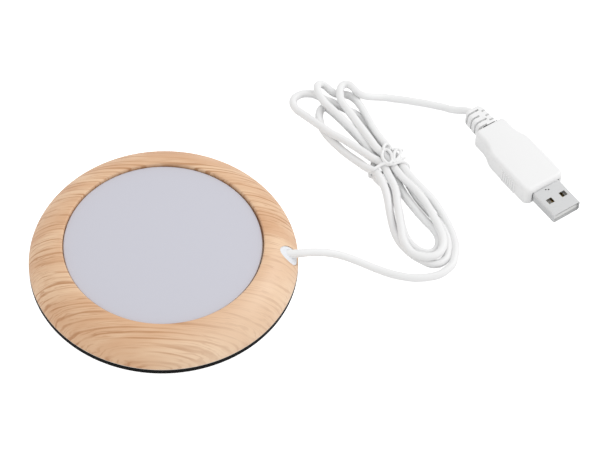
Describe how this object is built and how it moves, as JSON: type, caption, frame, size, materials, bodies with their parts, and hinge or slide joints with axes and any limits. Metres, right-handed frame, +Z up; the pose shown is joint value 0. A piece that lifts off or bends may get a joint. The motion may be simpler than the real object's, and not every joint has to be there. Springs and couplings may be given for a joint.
{
  "type": "mug warmer",
  "caption": "Round mug warmer: a low domed ring round a flat heating plate, a black base, and a thin cord in a tied hank with a USB plug.",
  "frame": {"origin": "centre of the round body at the level of the surface that its feet stand on", "axes": "+Z up, out of the heating plate; +X from the body's centre to the hole where the cord leaves"},
  "size_m": [0.1973, 0.1354, 0.0133],
  "materials": {
    "wood_print": "satin, printed with pale wood grain",
    "plate_grey": "satin, pale grey",
    "seal_rubber": "matte",
    "film_amber": "gloss",
    "foil": "satin",
    "fuse_case": "satin",
    "sleeve_glass": "matte",
    "felt": "matte",
    "sheet_steel": "satin",
    "screw_steel": "bright",
    "black_plastic": "satin",
    "foot_rubber": "matte",
    "white_plastic": "satin",
    "cord_white": "satin",
    "clamp_plastic": "satin",
    "wire_red": "satin",
    "wire_black": "satin",
    "tinned_copper": "satin",
    "tie_white": "satin",
    "mould_plastic": "satin",
    "shell_steel": "bright",
    "contact_gold": "bright"
  },
  "bodies": {
    "root": {"top_ring": "wood_print", "heating_plate": "plate_grey", "plate_seal": "seal_rubber", "heater_film": "film_amber", "heater_track": "foil", "thermal_fuse": "fuse_case", "fuse_sleeve": "sleeve_glass", "insulation_pad": "felt", "heater_retainer": "sheet_steel", "retainer_screws": "screw_steel", "base_cover": "black_plastic", "base_screws": "screw_steel", "rubber_feet": "foot_rubber", "cord_grommet": "white_plastic", "cord_inner": "cord_white", "cord_clamp": "clamp_plastic", "clamp_screws": "screw_steel", "positive_wire": "wire_red", "negative_wire": "wire_black", "fuse_wire": "wire_red", "wire_crimps": "tinned_copper", "solder_joints": "tinned_copper", "cord_lead": "cord_white", "cord_hank": "cord_white", "cord_tail": "cord_white", "twist_tie": "tie_white", "plug_body": "white_plastic", "plug_inner_mould": "mould_plastic", "plug_shell": "shell_steel", "plug_tongue": "mould_plastic", "plug_contacts": "contact_gold", "plug_cord_end": "cord_white", "plug_wires": "wire_red"}
  },
  "joints": []
}
